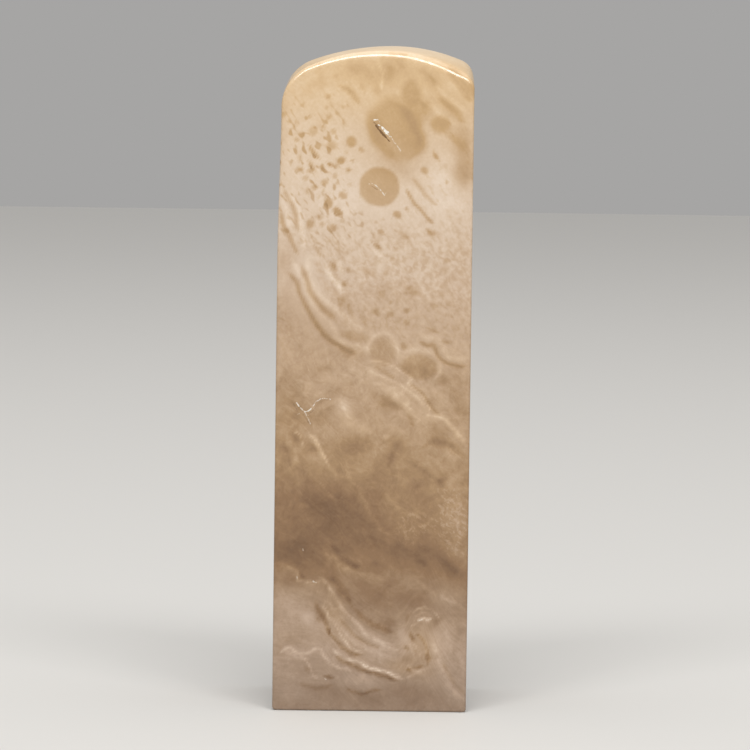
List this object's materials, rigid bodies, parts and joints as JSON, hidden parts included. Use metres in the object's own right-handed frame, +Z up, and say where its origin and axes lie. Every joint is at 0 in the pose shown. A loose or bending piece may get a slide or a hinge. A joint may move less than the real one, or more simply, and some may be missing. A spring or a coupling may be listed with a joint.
{
  "type": "seal stamp",
  "caption": "Upright square block of polished figured stone with a domed top to grip and a flat, uncarved seal face at its foot.",
  "frame": {"origin": "centre of the seal face, the flat foot that the stone stands on", "axes": "+Z up the stone towards its domed top, -Y out of the front face, +X to the right of someone who faces the front"},
  "size_m": [0.025, 0.025, 0.0858],
  "materials": {
    "stone": "polished"
  },
  "bodies": {
    "root": {"seal_stone": "stone"}
  },
  "joints": []
}
